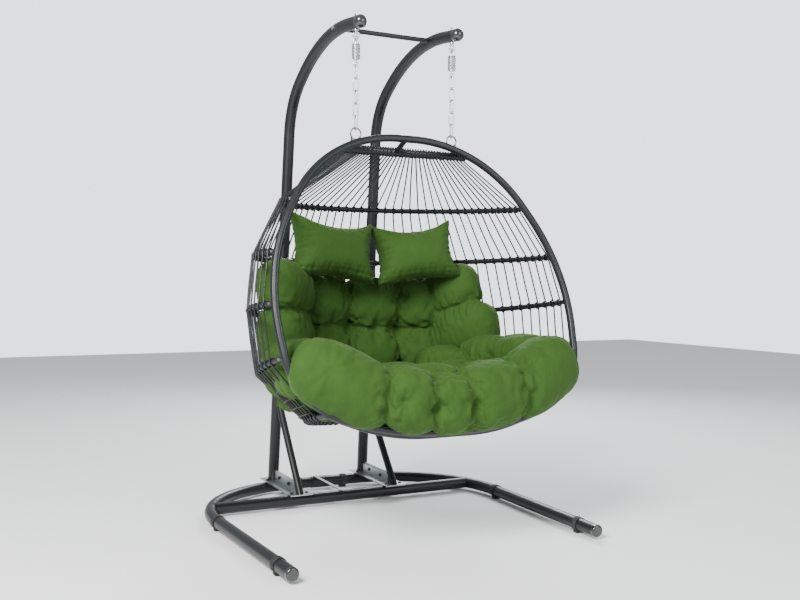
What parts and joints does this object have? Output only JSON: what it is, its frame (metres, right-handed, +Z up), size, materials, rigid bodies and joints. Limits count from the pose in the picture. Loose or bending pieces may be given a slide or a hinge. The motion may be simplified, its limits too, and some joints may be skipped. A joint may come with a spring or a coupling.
{
  "type": "hanging egg swing chair",
  "caption": "Two-seat hanging egg swing chair: woven wicker basket with tufted cushions, hung by springs and chains from a tubular stand.",
  "frame": {"origin": "on the floor, at the middle of the footprint's bounding box", "axes": "+Z up, -Y is the front where people get in, +X is the right side seen from the front"},
  "size_m": [1.3264, 1.3746, 1.9694],
  "materials": {
    "black_powder_coat": "satin black powder coat",
    "black_rattan": "black synthetic rattan strip, half matte",
    "green_fabric": "green woven polyester, tufted",
    "zinc_steel": "bright zinc plate",
    "dark_zinc": "dull plated steel",
    "bright_screws": "plated screws and bolts",
    "black_plastic": "glossy black end caps",
    "black_rubber": "black foot straps"
  },
  "bodies": {
    "stand": {"arm_caps": "black_plastic", "base_leg_left": "black_powder_coat", "base_leg_right": "black_powder_coat", "brace_left": "black_powder_coat", "brace_right": "black_powder_coat", "bracket_bolts": "bright_screws", "bracket_nuts": "bright_screws", "cross_tube_bolts": "bright_screws", "crossbar_left": "black_powder_coat", "crossbar_right": "black_powder_coat", "crossbar_sleeve": "black_powder_coat", "eye_bolts": "zinc_steel", "eye_nuts": "zinc_steel", "foot_bracket_left": "black_powder_coat", "foot_bracket_right": "black_powder_coat", "foot_clips": "black_rubber", "leg_caps": "black_plastic", "lower_post_left": "black_powder_coat", "lower_post_right": "black_powder_coat", "post_sleeves": "black_powder_coat", "post_web_left": "black_powder_coat", "post_web_right": "black_powder_coat", "rear_sleeve": "black_powder_coat", "tie_strap": "black_powder_coat", "top_cross_tube": "black_powder_coat", "upper_arm_left": "black_powder_coat", "upper_arm_right": "black_powder_coat"},
    "swing_hooks": {"upper_hooks": "zinc_steel", "spring_left": "zinc_steel", "spring_right": "zinc_steel"},
    "chains": {"lower_hooks": "zinc_steel", "chain_left": "zinc_steel", "chain_right": "zinc_steel"},
    "basket": {"back_cushion": "green_fabric", "cane_row_1": "black_rattan", "cane_row_2": "black_rattan", "cane_row_3": "black_rattan", "cane_row_4": "black_rattan", "cane_row_5": "black_rattan", "head_pillow_left": "green_fabric", "head_pillow_right": "green_fabric", "hoop_1_tube": "black_powder_coat", "hoop_1_wrap": "black_rattan", "hoop_2_tube": "black_powder_coat", "hoop_2_wrap": "black_rattan", "hoop_3_tube": "black_powder_coat", "hoop_3_wrap": "black_rattan", "hoop_4_tube": "black_powder_coat", "hoop_4_wrap": "black_rattan", "hoop_screws": "bright_screws", "pan_ring": "black_rattan", "pan_weave": "black_rattan", "rim_eyes": "dark_zinc", "rim_tube": "black_powder_coat", "rim_wrap": "black_rattan", "seat_cushion": "green_fabric", "seat_front_tube": "black_powder_coat", "top_hoop_tube": "black_powder_coat", "top_hoop_wrap": "black_rattan", "top_strut": "black_powder_coat"}
  },
  "joints": [
    {"name": "swing", "type": "hinge", "parent": "stand", "child": "swing_hooks", "pos_m": [0, -0.2155, 1.8735], "axis": [1, 0, 0], "range_deg": [-18, 7]},
    {"name": "bounce", "type": "slide", "parent": "swing_hooks", "child": "chains", "axis": [0, 0, -1], "range_m": [0, 0.03], "stiffness_N_per_m": 40000, "springref_m": -0.015, "deforming": ["spring_left", "spring_right"]},
    {"name": "basket_tilt", "type": "hinge", "parent": "chains", "child": "basket", "pos_m": [0, -0.2155, 1.5396], "axis": [1, 0, 0], "range_deg": [-8, 4]}
  ]
}
